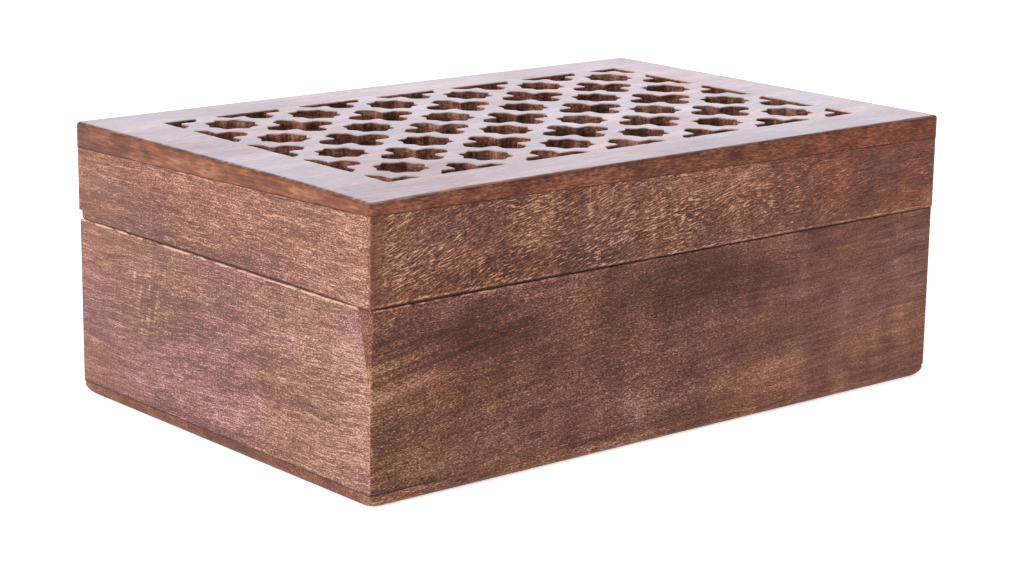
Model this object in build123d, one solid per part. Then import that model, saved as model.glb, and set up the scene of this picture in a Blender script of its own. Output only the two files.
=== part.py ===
from build123d import *
import math
import os

# Wooden puzzle box: a mitred base and a hinged lid whose top board is pierced as a jali lattice.
# A loose pin inside the front wall locks the lid until the box is tilted the right way.
# Millimetres, +Z up, the front faces -Y, and the origin is the middle of the underside.

# Box
box_length = 228.0
box_width = 150.0
base_height = 56.4
lid_height = 30.0
wall_thickness = 10.0
bottom_thickness = 4.0
panel_thickness = 6.0
lid_overhang = 0.5

# Edges rounded by sanding
lid_corner_radius = 2.0
base_corner_radius = 1.0
panel_edge_radius = 1.2
seam_edge_radius = 0.8
bottom_edge_radius = 2.5
back_seam_chamfer = 1.2

# Jali lattice, whose cells are fitted to the window in whole numbers
panel_border = 18.0
cell_length = 32.0
cell_width = 28.5
cross_arm_width = 8.1
cross_bar_along = 7.4
cross_bar_across = 5.7
star_radius = 8.7
star_points = 8

# Butt hinges
hinge_spacing = 130.0
hinge_length = 25.0
knuckle_radius = 1.5
knuckle_setback = 0.1
knuckle_gap = 0.2
hinge_pin_radius = 0.7
hinge_pin_clearance = 0.05
leaf_thickness = 0.8
leaf_gap = 0.2
leaf_margin = 1.2
leaf_mortise_clearance = 0.25
groove_clearance = 0.15

# Hinge screws
screw_spacing = 15.0
screw_length = 6.0
screw_shank_radius = 0.9

# Tilt lock in the front wall
lock_pin_radius = 1.25
lock_pin_length = 24.0
lock_pin_depth = 8.0
lock_pin_clearance = 0.1
lock_pin_play = 0.3
lock_plug_length = 8.5
lock_parked_gap = 4.0
lock_reach = 8.0
lock_hole_clearance = 0.3
tongue_thickness = 2.0
tongue_width = 5.0
tongue_root = 10.0
tongue_end = 1.5
tongue_corner_chamfer = 1.2
tongue_side_clearance = 0.4
tongue_swing_clearance = 0.2
tongue_floor_clearance = 0.5
tongue_pin_radius = 0.8
tongue_pin_cover = 2.0

# Places that follow from the sizes
base_length = box_length - 2 * lid_overhang
base_width = box_width - 2 * lid_overhang
box_height = base_height + lid_height
panel_bottom = box_height - panel_thickness

hinge_y = box_width / 2 - knuckle_setback - knuckle_radius
hinge_z = base_height + leaf_thickness + leaf_gap / 2
hinge_centres = {"left": -hinge_spacing / 2, "right": hinge_spacing / 2}
groove_radius = knuckle_radius + groove_clearance
leaf_edge_y = box_width / 2 - wall_thickness + leaf_margin
leaf_stack = 2 * leaf_thickness + leaf_gap
screw_y = (leaf_edge_y + hinge_y - groove_radius) / 2
screw_head_radius = screw_shank_radius + leaf_thickness

lock_y = -(base_width - wall_thickness) / 2
lock_z = base_height - lock_pin_depth
lock_hole_radius = lock_pin_radius + lock_hole_clearance
tongue_slot_half = tongue_thickness / 2 + tongue_side_clearance
channel_right = (base_length - wall_thickness) / 2 - lock_plug_length
lock_pin_left = channel_right - lock_pin_play - lock_pin_length
tongue_x = lock_pin_left - lock_parked_gap - tongue_slot_half
lock_travel = lock_parked_gap + 2 * tongue_slot_half + lock_reach
channel_left = lock_pin_left - lock_travel - lock_pin_play
tongue_bottom = lock_z - lock_hole_radius - tongue_end
tongue_arm = hinge_y - lock_y + tongue_width / 2
tongue_swing = math.hypot(tongue_arm, hinge_z - tongue_bottom) - tongue_arm


def block(x_range, y_range, z_range):
    """A plain block between two limits on each axis."""
    ranges = (x_range, y_range, z_range)
    size = [high - low for low, high in ranges]
    middle = [(low + high) / 2 for low, high in ranges]
    return Pos(*middle) * Box(*size)


def bar(radius, start, end):
    """A round bar between two points."""
    run = Vector(*end) - Vector(*start)
    return extrude(Plane(origin=start, z_dir=run) * Circle(radius), run.length)


def bar_along(radius, left, right, y, z):
    """A round bar along the box's length."""
    return bar(radius, (left, y, z), (right, y, z))


def eased_section(width, low, high, low_radius, high_radius):
    """An upright section with its two lower and its two upper corners rounded."""
    section = Pos(0, low) * Rectangle(width, high - low, align=(Align.CENTER, Align.MIN))
    section = fillet(section.vertices().group_by(Axis.Y)[0], low_radius)
    return fillet(section.vertices().group_by(Axis.Y)[-1], high_radius)


def eased_envelope(length, width, low, high, corner_radius, low_radius, high_radius):
    """The outside of half the box once it has been glued up and sanded along every edge."""
    plan = Pos(0, 0, low) * extrude(RectangleRounded(length, width, corner_radius), high - low)
    along = Plane.XZ * eased_section(length, low, high, low_radius, high_radius)
    across = Plane.YZ * eased_section(width, low, high, low_radius, high_radius)
    return plan & extrude(along, width, both=True) & extrude(across, length, both=True)


def base_envelope():
    """Outside of the base, with the knuckle groove scooped from its back rim."""
    envelope = eased_envelope(
        base_length, base_width, 0, base_height, base_corner_radius, bottom_edge_radius, seam_edge_radius
    )
    back = base_width / 2
    chamfer_section = Polygon(
        (back, base_height - back_seam_chamfer),
        (back + back_seam_chamfer, base_height),
        (back, base_height + back_seam_chamfer),
        (back - back_seam_chamfer, base_height),
        align=None,
    )
    chamfer_cut = extrude(Plane.YZ * chamfer_section, box_length, both=True)
    return envelope - [bar_along(groove_radius, -box_length, box_length, hinge_y, hinge_z), chamfer_cut]


def lid_envelope():
    """Outside of the lid, with the rebate for the knuckles along its back rim."""
    envelope = eased_envelope(
        box_length, box_width, base_height, box_height, lid_corner_radius, seam_edge_radius, panel_edge_radius
    )
    rebate_y = (hinge_y - groove_radius, box_width)
    return envelope - block((-box_length, box_length), rebate_y, (0, hinge_z + groove_radius))


def layer(envelope, low, high):
    """The slice of an envelope between two heights: a full-size board."""
    return envelope & block((-box_length, box_length), (-box_width, box_width), (low, high))


def mitred_walls(length, width, low, high):
    """The four walls of a frame, cut at 45 degrees where they meet."""
    outer = [(x * length / 2, y * width / 2) for x, y in ((-1, -1), (1, -1), (1, 1), (-1, 1))]
    inner = [(x - math.copysign(wall_thickness, x), y - math.copysign(wall_thickness, y)) for x, y in outer]
    walls = {}
    for start, side in enumerate(("front", "right", "back", "left")):
        end = (start + 1) % len(outer)
        plan = Polygon(outer[start], outer[end], inner[end], inner[start], align=None)
        walls[side] = Pos(0, 0, low) * extrude(plan, high - low)
    return walls


def cross_outline(reach_x, reach_y):
    """A four-armed cross whose arms end in right-angled points."""
    half = cross_arm_width / 2
    quarter = [(reach_x, 0), (reach_x - half, half), (half, half), (half, reach_y - half), (0, reach_y)]
    upper = quarter + [(-x, y) for x, y in quarter[-2::-1]]
    lower = [(x, -y) for x, y in upper[-2:0:-1]]
    return Polygon(*upper, *lower, align=None)


def star_outline():
    """An eight-pointed star, as two squares laid across each other make."""
    notch_radius = star_radius * math.cos(2 * math.pi / star_points) / math.cos(math.pi / star_points)
    outline = []
    for step in range(2 * star_points):
        radius = notch_radius if step % 2 else star_radius
        angle = math.pi * step / star_points
        outline.append((radius * math.cos(angle), radius * math.sin(angle)))
    return Polygon(*outline, align=None)


def lattice_cuts():
    """Crosses on the grid points of the window, cut off at its edge, and stars between them."""
    window_length = box_length - 2 * panel_border
    window_width = box_width - 2 * panel_border
    columns = max(1, round(window_length / cell_length))
    rows = max(1, round(window_width / cell_width))
    pitch_x = window_length / columns
    pitch_y = window_width / rows
    window = Rectangle(window_length, window_width)
    cross = cross_outline((pitch_x - cross_bar_along) / 2, (pitch_y - cross_bar_across) / 2)
    star = star_outline()
    cuts = []
    for column in range(columns + 1):
        for row in range(rows + 1):
            x = column * pitch_x - window_length / 2
            y = row * pitch_y - window_width / 2
            at_edge = column in (0, columns) or row in (0, rows)
            placed = Pos(x, y) * cross
            cuts.append(placed & window if at_edge else placed)
            if column < columns and row < rows:
                cuts.append(Pos(x + pitch_x / 2, y + pitch_y / 2) * star)
    return [Pos(0, 0, panel_bottom) * extrude(cut, panel_thickness) for cut in cuts]


def knuckle_spans():
    """Three equal knuckles along a hinge: the outer two, and the middle one."""
    split = hinge_length / 6
    end = hinge_length / 2
    slack = knuckle_gap / 2
    return [(-end, -split - slack), (split + slack, end)], [(-split + slack, split - slack)]


def hinge_leaf(centre_x, low, own_spans, other_spans):
    """A flat leaf with its rolled knuckles, notched where the other leaf's knuckles turn."""
    half = hinge_length / 2
    leaf = block((centre_x - half, centre_x + half), (leaf_edge_y, hinge_y), (low, low + leaf_thickness))
    notch_y = (hinge_y - knuckle_radius - knuckle_gap, hinge_y + knuckle_radius)
    for left, right in other_spans:
        notch_x = (centre_x + left - knuckle_gap, centre_x + right + knuckle_gap)
        leaf -= block(notch_x, notch_y, (0, box_height))
    for left, right in own_spans:
        leaf += bar_along(knuckle_radius, centre_x + left, centre_x + right, hinge_y, hinge_z)
    bore_radius = hinge_pin_radius + hinge_pin_clearance
    return leaf - bar_along(bore_radius, -box_length, box_length, hinge_y, hinge_z)


def hinge_pin(centre_x):
    """The pin through all three knuckles."""
    half = hinge_length / 2
    return bar_along(hinge_pin_radius, centre_x - half, centre_x + half, hinge_y, hinge_z)


def leaf_mortise(centre_x):
    """A pocket in the lid's back rim, deep enough for both closed leaves."""
    half = hinge_length / 2 + leaf_mortise_clearance
    pocket_y = (leaf_edge_y - leaf_mortise_clearance, hinge_y)
    return block((centre_x - half, centre_x + half), pocket_y, (0, base_height + leaf_stack))


def countersunk_screw():
    """A screw with its flat head at the origin and its shank down -Z. The head is as deep as a leaf."""
    head = Pos(0, 0, -leaf_thickness / 2) * Cone(screw_shank_radius, screw_head_radius, leaf_thickness)
    return head + bar(screw_shank_radius, (0, 0, -leaf_thickness), (0, 0, -screw_length))


def hinge_screws(head_z, turn):
    """Two screws in each hinge, with their heads at one height, pointing down or turned up."""
    offsets = (-screw_spacing / 2, screw_spacing / 2)
    centres = [x + offset for x in hinge_centres.values() for offset in offsets]
    return [Pos(x, screw_y, head_z) * Rot(turn, 0, 0) * countersunk_screw() for x in centres]


def lock_tongue():
    """A flat tongue with bevelled lower corners and the hole that the lock pin enters."""
    section = Pos(lock_y, tongue_bottom) * Rectangle(
        tongue_width, base_height + tongue_root - tongue_bottom, align=(Align.CENTER, Align.MIN)
    )
    section = chamfer(section.vertices().group_by(Axis.Y)[0], tongue_corner_chamfer)
    section -= Pos(lock_y, lock_z) * Circle(lock_hole_radius)
    return extrude(Plane.YZ.offset(tongue_x) * section, tongue_thickness / 2, both=True)


def tongue_pin():
    """The cross pin, driven from inside the lid through the tongue and short of the outer face."""
    front = -box_width / 2
    z = base_height + tongue_root / 2
    head = (tongue_x, front + wall_thickness, z)
    point = (tongue_x, front + tongue_pin_cover, z)
    return bar(tongue_pin_radius, head, point)


def tongue_mortise():
    """The slot in the base's rim, with room for the arc on which the tongue swings out."""
    half_width = tongue_width / 2 + tongue_swing + tongue_swing_clearance
    slot_x = (tongue_x - tongue_slot_half, tongue_x + tongue_slot_half)
    slot_y = (lock_y - half_width, lock_y + half_width)
    return block(slot_x, slot_y, (tongue_bottom - tongue_floor_clearance, box_height))


def lock_pin():
    """The loose pin, parked clear of the tongue."""
    return bar_along(lock_pin_radius, lock_pin_left, lock_pin_left + lock_pin_length, lock_y, lock_z)


def lock_channel(left):
    """The bore that runs from a place in the front wall out through its right-hand end."""
    return bar_along(lock_pin_radius + lock_pin_clearance, left, box_length, lock_y, lock_z)


nodes = {}

# Hinges and their screws
outer_spans, middle_span = knuckle_spans()
lid_leaf_low = base_height + leaf_thickness + leaf_gap
base_screws = hinge_screws(base_height + leaf_thickness, 0)
lid_screws = hinge_screws(lid_leaf_low, 180)
for side, x in hinge_centres.items():
    nodes[f"{side}_hinge_base_leaf"] = hinge_leaf(x, base_height, outer_spans, middle_span) - base_screws
    nodes[f"{side}_hinge_lid_leaf"] = hinge_leaf(x, lid_leaf_low, middle_span, outer_spans) - lid_screws
    nodes[f"{side}_hinge_pin"] = hinge_pin(x)
nodes["hinge_base_screws"] = Compound(base_screws)
nodes["hinge_lid_screws"] = Compound(lid_screws)

# Base: four mitred walls on a thin bottom board
base = base_envelope()
base_walls = mitred_walls(base_length, base_width, bottom_thickness, base_height)
for side, wall in base_walls.items():
    nodes[f"base_{side}_board"] = wall & base
nodes["base_bottom_board"] = layer(base, 0, bottom_thickness)
nodes["base_back_board"] -= base_screws
nodes["base_front_board"] -= [tongue_mortise(), lock_channel(channel_left)]

# Lid: four mitred walls under the pierced top board
lid = lid_envelope()
for side, wall in mitred_walls(box_length, box_width, base_height, panel_bottom).items():
    nodes[f"lid_{side}_board"] = wall & lid
nodes["jali_top_panel"] = layer(lid, panel_bottom, box_height) - lattice_cuts()
nodes["lid_back_board"] -= [leaf_mortise(x) for x in hinge_centres.values()] + lid_screws
nodes["lid_front_board"] -= [lock_tongue(), tongue_pin()]

# Tilt lock, stored with its pin parked so that the lid is free
nodes["lock_tongue"] = lock_tongue() - tongue_pin()
nodes["lock_tongue_pin"] = tongue_pin()
nodes["lock_pin"] = lock_pin()
nodes["lock_channel_plug"] = lock_channel(channel_right) & base_walls["front"]

os.makedirs("parts", exist_ok=True)
for name, solid in nodes.items():
    export_step(solid, f"parts/{name}.step")

# The lid can open until its back edge meets the base's back face
lip_y = box_width / 2 - hinge_y
lip_angle = math.atan2(groove_radius, lip_y)
lip_turn = math.acos((base_width / 2 - hinge_y) / math.hypot(lip_y, groove_radius))
print(f"hinge axis at y {hinge_y:.3f}, z {hinge_z:.3f}")
print(f"lid stops at {math.degrees(lip_angle + lip_turn):.1f} degrees")
print(f"lock pin travels {lock_travel:.2f}, tongue at x {tongue_x:.2f} swings {tongue_swing:.3f} forward")
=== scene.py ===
import math
import random
from dataclasses import dataclass

import bmesh
import bpy
from mathutils import Matrix, Vector, noise
from mathutils.geometry import delaunay_2d_cdt


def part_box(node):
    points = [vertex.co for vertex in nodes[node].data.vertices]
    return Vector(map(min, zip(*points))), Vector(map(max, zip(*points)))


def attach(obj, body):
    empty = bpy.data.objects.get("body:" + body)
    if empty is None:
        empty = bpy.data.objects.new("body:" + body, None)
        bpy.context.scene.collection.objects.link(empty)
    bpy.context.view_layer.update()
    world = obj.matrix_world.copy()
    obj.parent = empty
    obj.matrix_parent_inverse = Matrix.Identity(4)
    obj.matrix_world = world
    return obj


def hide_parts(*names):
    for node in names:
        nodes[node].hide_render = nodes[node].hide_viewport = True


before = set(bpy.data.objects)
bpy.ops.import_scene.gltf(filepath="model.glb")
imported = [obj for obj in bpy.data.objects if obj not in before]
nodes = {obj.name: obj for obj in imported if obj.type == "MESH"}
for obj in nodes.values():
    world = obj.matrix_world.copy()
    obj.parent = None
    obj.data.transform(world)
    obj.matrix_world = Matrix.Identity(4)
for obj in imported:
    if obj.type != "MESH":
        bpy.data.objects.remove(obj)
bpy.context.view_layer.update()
scene = bpy.context.scene

MM = 0.001
# The four corners of a rectangle round the origin, as signs
CORNERS = ((-1, -1), (1, -1), (1, 1), (-1, 1))
# Points this close are one, and heights this close in millimetres are the same
TOLERANCE = 1e-7
HEIGHT_TOLERANCE = 0.01
# Blender's triangulation keeps what is inside the outer outline
FILL_INSIDE = 1

# Sizes are in millimetres, and pairs are along the length and the width

# Lattice of the top panel: the wood round it and between two crosses, and a cross
PANEL_BORDER = (20.2, 18.4)
CELL_COUNT = (6, 4)
CROSS_BARS = (7.7, 5.5)
CROSS_HALF_ARM = 4.3
CROSS_NOTCH = 3.8
CROSS_END = 1.0
CROSS_SHOULDER = 2.5
# Rounding of its ends, shoulders and notches, and where the window cuts it off
CROSS_ROUNDS = (1.1, 2.0, 1.4)
WINDOW_ROUND = 0.35
# Points and notches of a star: how far out they lie, and their rounding
STAR_POINTS = 8
STAR_POINT = (8.6, 1.3)
STAR_NOTCH = (6.9, 1.1)
# How far a cut-out is out of true: turn in degrees, share of its size, place and corners
SAW_TURN = 1.5
SAW_SCALE = 0.03
SAW_SHIFT = 0.3
SAW_CORNER = 0.15
# Waves that the saw left in the cut edges: how many a millimetre, how deep, and their points' distance
WAVE_RATE = 0.4
WAVE_DEPTH = 0.32
WAVE_STEP = 1.2
# A round takes up at most this share of a side
ROUND_SHARE = 0.45
# Eased edges, and how many steps a round has
RIM_RADIUS = 0.3
RIM_MARGIN = 0.12
RIM_STEPS = 4
PANEL_EDGE_RADIUS = 1.2
LID_CORNER_RADIUS = 2.0
LID_CORNER_STEPS = 10
JOINT_BEVEL = 0.2
BASE_CORNER_RADIUS = 1.0
BOTTOM_EASE = 2.5
BOTTOM_CORNER_RADIUS = 4.0
BOTTOM_STEPS = 6
BOTTOM_CORNER_STEPS = 8
# Facets worn off the base's near corner, each as its height and its reach along the front and the
# left side: the rubbed arris, and a chip under the lid
CORNER_FACETS = ((18.0, 0.9, 3.5), (2.2, 1.8, 5.8))
# Hinge screws
SCREW_SPACING = 15.0
SCREW_SHANK_RADIUS = 0.9
SCREW_HEAD_DEPTH = 0.8
SCREW_SLOT_WIDTH = 0.5
SCREW_SLOT_DEPTH = 0.4
SCREW_POINT = 1.6
SCREW_TIP_RADIUS = 0.18
SCREW_EDGE = 0.15
SCREW_EDGE_INSET = 0.03
# The top was sanded level by hand, so its board is thinner at the near corner: thickness at
# the front left, front right, back right and back left corners
PANEL_THICKNESS = (4.3, 7.4, 7.0, 8.0)
# The near corner is also rubbed down a little
CORNER_DIP = 0.8
CORNER_DIP_REACH = 45.0
EDGE_STEP = 5.0

# Every random draw starts from this seed, so that each run gives the same box
SEED = 7
rng = random.Random(SEED)
noise.seed_set(SEED)

panel_low, panel_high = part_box("jali_top_panel")
half_length = panel_high.x / MM
half_width = panel_high.y / MM
panel_top = panel_high.z / MM
panel_bottom = panel_low.z / MM
base_half_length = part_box("base_front_board")[1].x / MM
base_half_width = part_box("base_left_board")[1].y / MM
base_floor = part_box("base_bottom_board")[1].z / MM
seam_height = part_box("base_front_board")[1].z / MM


def panel_depth(x, y):
    """How thick the top board is at a place, in millimetres."""
    u = (x + half_length) / (2 * half_length)
    v = (y + half_width) / (2 * half_width)
    front = PANEL_THICKNESS[0] * (1 - u) + PANEL_THICKNESS[1] * u
    back = PANEL_THICKNESS[3] * (1 - u) + PANEL_THICKNESS[2] * u
    return front * (1 - v) + back * v


def corner_dip(x, y):
    """How far the top is rubbed down at a place, in millimetres."""
    reach = math.hypot(x + half_length, y + half_width)
    return CORNER_DIP * max(0.0, 1 - reach / CORNER_DIP_REACH) ** 2


def band(upper, lower):
    """The faces between two closed rings of vertices."""
    return [(upper[i - 1], upper[i], lower[i], lower[i - 1]) for i in range(len(upper))]


def new_mesh(name, points, faces):
    """A mesh from points in millimetres."""
    data = bpy.data.meshes.new(name)
    data.from_pydata([Vector(point) * MM for point in points], [], faces)
    return data


def add_piece(mesh, body, node):
    """A piece named after its mesh, which rides on a body and stands for a CAD node."""
    piece = bpy.data.objects.new(mesh.name, mesh)
    scene.collection.objects.link(piece)
    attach(piece, body)
    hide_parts(node)
    return piece


# Top panel


def rounded(corners, steps=4):
    """A closed outline from (x, y, radius) corners, each rounded off."""
    outline = []
    for index, (x, y, radius) in enumerate(corners):
        corner = Vector((x, y))
        before = Vector(corners[index - 1][:2]) - corner
        after = Vector(corners[(index + 1) % len(corners)][:2]) - corner
        reach = radius / math.tan(before.angle(after) / 2)
        reach = min(reach, ROUND_SHARE * before.length, ROUND_SHARE * after.length)
        start = corner + before.normalized() * reach
        end = corner + after.normalized() * reach
        for step in range(steps + 1):
            t = step / steps
            outline.append(start * (1 - t) ** 2 + corner * 2 * t * (1 - t) + end * t * t)
    return outline


def rounded_rectangle(half_x, half_y, radius, steps):
    """A closed outline round the origin with rounded corners."""
    return rounded([(half_x * a, half_y * b, radius) for a, b in CORNERS], steps)


def divided(outline, step):
    """The outline with extra points along its long sides."""
    result = []
    for index, point in enumerate(outline):
        start = outline[index - 1]
        count = max(1, round((point - start).length / step))
        result += [start.lerp(point, (part + 1) / count) for part in range(count)]
    return result


def cross_corners(reach_x, reach_y):
    """A four-armed cross with blunt, rounded arms, as (x, y, radius) corners."""
    end, shoulder, notch = CROSS_ROUNDS
    quarter = [
        (reach_x, CROSS_END, end),
        (reach_x - CROSS_SHOULDER, CROSS_HALF_ARM, shoulder),
        (CROSS_NOTCH, CROSS_NOTCH, notch),
        (CROSS_HALF_ARM, reach_y - CROSS_SHOULDER, shoulder),
        (CROSS_END, reach_y, end),
    ]
    upper = quarter + [(-x, y, radius) for x, y, radius in quarter[::-1]]
    return upper + [(x, -y, radius) for x, y, radius in upper[::-1]]


def star_corners():
    """A star, as (x, y, radius) corners."""
    corners = []
    for step in range(2 * STAR_POINTS):
        reach, radius = STAR_NOTCH if step % 2 else STAR_POINT
        angle = math.pi * step / STAR_POINTS
        corners.append((reach * math.cos(angle), reach * math.sin(angle), radius))
    return corners


def hand_cut(corners, x, y):
    """Puts a shape in its place, a little out of true as a fretsaw leaves it."""
    turn = math.radians(rng.uniform(-SAW_TURN, SAW_TURN))
    scale = rng.uniform(1 - SAW_SCALE, 1 + SAW_SCALE)
    x += rng.uniform(-SAW_SHIFT, SAW_SHIFT)
    y += rng.uniform(-SAW_SHIFT, SAW_SHIFT)
    placed = []
    for cx, cy, radius in corners:
        cx += rng.uniform(-SAW_CORNER, SAW_CORNER)
        cy += rng.uniform(-SAW_CORNER, SAW_CORNER)
        px = x + scale * (cx * math.cos(turn) - cy * math.sin(turn))
        py = y + scale * (cx * math.sin(turn) + cy * math.cos(turn))
        placed.append((px, py, radius))
    return placed


def clipped(corners, axis, limit, keep):
    """The part of a shape on one side of a line across x (axis 0) or y (axis 1)."""
    result = []
    for index, corner in enumerate(corners):
        previous = corners[index - 1]
        kept = (corner[axis] - limit) * keep >= 0
        was_kept = (previous[axis] - limit) * keep >= 0
        if kept != was_kept:
            t = (limit - previous[axis]) / (corner[axis] - previous[axis])
            point = [a + t * (b - a) for a, b in zip(previous, corner)]
            result.append((point[0], point[1], WINDOW_ROUND))
        if kept:
            result.append(corner)
    return result


def waved(outline):
    """The outline with the small waves of a hand-guided saw."""
    points = []
    for point in divided(outline, WAVE_STEP):
        wave = noise.noise_vector(Vector((point.x, point.y, 0)) * WAVE_RATE)
        points.append(point + WAVE_DEPTH * Vector((wave.x, wave.y)))
    return points


def lattice_outlines():
    """The outline of each cut-out: crosses on the grid, cut off at the window, and stars between."""
    window = (half_length - PANEL_BORDER[0], half_width - PANEL_BORDER[1])
    pitch = [2 * side / count for side, count in zip(window, CELL_COUNT)]
    cross = cross_corners(*[(p - bar) / 2 for p, bar in zip(pitch, CROSS_BARS)])
    star = star_corners()
    outlines = []
    for column in range(CELL_COUNT[0] + 1):
        for row in range(CELL_COUNT[1] + 1):
            x = column * pitch[0] - window[0]
            y = row * pitch[1] - window[1]
            shape = hand_cut(cross, x, y)
            for axis, place, count in ((0, column, CELL_COUNT[0]), (1, row, CELL_COUNT[1])):
                if place in (0, count):
                    keep = 1 if place == 0 else -1
                    shape = clipped(shape, axis, -keep * window[axis], keep)
            outlines.append(waved(rounded(shape)))
            if column < CELL_COUNT[0] and row < CELL_COUNT[1]:
                outlines.append(waved(rounded(hand_cut(star, x + pitch[0] / 2, y + pitch[1] / 2))))
    return outlines


def offset(outline, distance):
    """The outline moved outwards by a distance, or inwards if it is negative."""
    moved = []
    for index, point in enumerate(outline):
        before = (point - outline[index - 1]).normalized()
        after = (outline[(index + 1) % len(outline)] - point).normalized()
        normal = Vector((before.y + after.y, -before.x - after.x)).normalized()
        spread = max(0.5, normal.dot(Vector((after.y, -after.x))))
        moved.append(point + normal * distance / spread)
    return moved


class PanelMesh:
    """Vertices and faces of the pierced panel."""

    def __init__(self):
        self.points = []
        self.faces = []
        self.slots = []

    def ring(self, outline, height):
        """Adds a closed ring of vertices at a height given by a function of x and y."""
        first = len(self.points)
        self.points += [(p.x, p.y, height(p.x, p.y)) for p in outline]
        return list(range(first, len(self.points)))

    def sides(self, upper, lower, slot):
        """Joins two rings by a band of faces."""
        self.faces += band(upper, lower)
        self.slots += [slot] * len(upper)

    def sheet(self, outer, holes, slot):
        """Fills between the outer ring and the holes' rings."""
        rings = [outer] + holes
        order = [vertex for ring in rings for vertex in ring]
        flat = [Vector(self.points[vertex][:2]) for vertex in order]
        edges = []
        for ring in rings:
            first = len(edges)
            edges += [(first + i, first + (i + 1) % len(ring)) for i in range(len(ring))]
        result = delaunay_2d_cdt(flat, edges, [], FILL_INSIDE, TOLERANCE)
        source = [order[found[0]] for found in result[3]]
        place = dict(zip(order, flat))
        ring_of = {vertex: number for number, ring in enumerate(rings) for vertex in ring}
        for face in result[2]:
            a, b, c = sorted(source[i] for i in face)
            # A triangle within a hole has three of its vertices, in the order of its outline
            same_hole = ring_of[a] == ring_of[c] > 0
            if not (same_hole and (place[b] - place[a]).cross(place[c] - place[a]) > 0):
                self.faces.append(tuple(source[i] for i in face))
                self.slots.append(slot)


def level(depth):
    """A height that far below the panel's top."""
    return lambda x, y: panel_top - depth - corner_dip(x, y)


def underside(lift=0.0):
    """A height that far above the panel's uneven underside."""
    return lambda x, y: panel_top - panel_depth(x, y) + lift


def pierced_panel():
    """The top board with eased edges, eased cut-outs and an uneven underside."""
    mesh = PanelMesh()
    outer = rounded_rectangle(half_length, half_width, LID_CORNER_RADIUS, LID_CORNER_STEPS)
    edges = [(divided(outer, EDGE_STEP), PANEL_EDGE_RADIUS, -1)]
    edges += [(outline, RIM_RADIUS, 1) for outline in lattice_outlines()]
    upper_rings = []
    lower_rings = []
    for outline, rim, side in edges:
        rings = [mesh.ring(offset(outline, side * (rim + RIM_MARGIN)), level(0))]
        for step in range(RIM_STEPS + 1):
            angle = math.pi / 2 * step / RIM_STEPS
            ease = rim * (1 - math.sin(angle))
            rings.append(mesh.ring(offset(outline, side * ease), level(rim * (1 - math.cos(angle)))))
        rings.append(mesh.ring(outline, underside(JOINT_BEVEL)))
        rings.append(mesh.ring(offset(outline, side * JOINT_BEVEL), underside()))
        for index, (upper, lower) in enumerate(zip(rings, rings[1:])):
            mesh.sides(upper, lower, 0 if index < 2 else 1)
        upper_rings.append(rings[0])
        lower_rings.append(rings[-1])
    mesh.sheet(upper_rings[0], upper_rings[1:], 0)
    mesh.sheet(lower_rings[0], lower_rings[1:], 1)
    data = new_mesh("jali_panel_hand_cut", mesh.points, mesh.faces)
    data.polygons.foreach_set("material_index", mesh.slots)
    return data


def finish_mesh(data, sharp=35):
    """Points every face outwards and smooths all but the edges of more than so many degrees."""
    work = bmesh.new()
    work.from_mesh(data)
    bmesh.ops.remove_doubles(work, verts=work.verts, dist=TOLERANCE)
    bmesh.ops.recalc_face_normals(work, faces=work.faces)
    for face in work.faces:
        face.smooth = True
    work.to_mesh(data)
    work.free()
    limit = math.cos(math.radians(sharp))
    around = [[] for vertex in data.vertices]
    for polygon in data.polygons:
        for vertex in polygon.vertices:
            around[vertex].append((polygon.normal.copy(), polygon.area))
    normals = []
    for polygon in data.polygons:
        for vertex in polygon.vertices:
            shared = [normal * area for normal, area in around[vertex] if normal.dot(polygon.normal) > limit]
            normals.append(sum(shared, Vector()).normalized())
    data.normals_split_custom_set(normals)
    return data


panel = add_piece(finish_mesh(pierced_panel()), "lid", "jali_top_panel")


# Lid walls, whose upper edges follow the underside of the top board


def fitted_wall(node):
    """A lid wall with its upper edge planed to meet the top board."""
    data = nodes[node].data.copy()
    data.name = node + "_fitted"
    for vertex in data.vertices:
        if vertex.co.z / MM > panel_bottom - HEIGHT_TOLERANCE:
            vertex.co.z = (panel_top - panel_depth(vertex.co.x / MM, vertex.co.y / MM)) * MM
    return finish_mesh(data)


lid_walls = {}
for side in ("front", "back", "left", "right"):
    node = f"lid_{side}_board"
    lid_walls[side] = add_piece(fitted_wall(node), "lid", node)


# Bottom board, whose corners are sanded rounder than its edges


def eased_bottom():
    """A thin board with its lower edges and corners rounded off."""
    points = []
    faces = []
    rings = []
    angles = [math.pi / 2 * step / BOTTOM_STEPS for step in range(BOTTOM_STEPS + 1)]
    heights = [BOTTOM_EASE * (1 - math.cos(angle)) for angle in angles]
    for height, angle in zip(heights + [base_floor], angles + [math.pi / 2]):
        inset = BOTTOM_EASE * (1 - math.sin(angle))
        radius = BASE_CORNER_RADIUS + (BOTTOM_CORNER_RADIUS - BASE_CORNER_RADIUS) * math.cos(angle)
        half_sizes = (base_half_length - inset, base_half_width - inset)
        first = len(points)
        points += [(p.x, p.y, height) for p in rounded_rectangle(*half_sizes, radius, BOTTOM_CORNER_STEPS)]
        rings.append(list(range(first, len(points))))
    for lower, upper in zip(rings, rings[1:]):
        faces += band(lower, upper)
    faces += [rings[0][::-1], rings[-1]]
    return new_mesh("base_bottom_board_eased", points, faces)


bottom = add_piece(finish_mesh(eased_bottom()), "base", "base_bottom_board")


# Base walls at the near corner, which is worn


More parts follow.
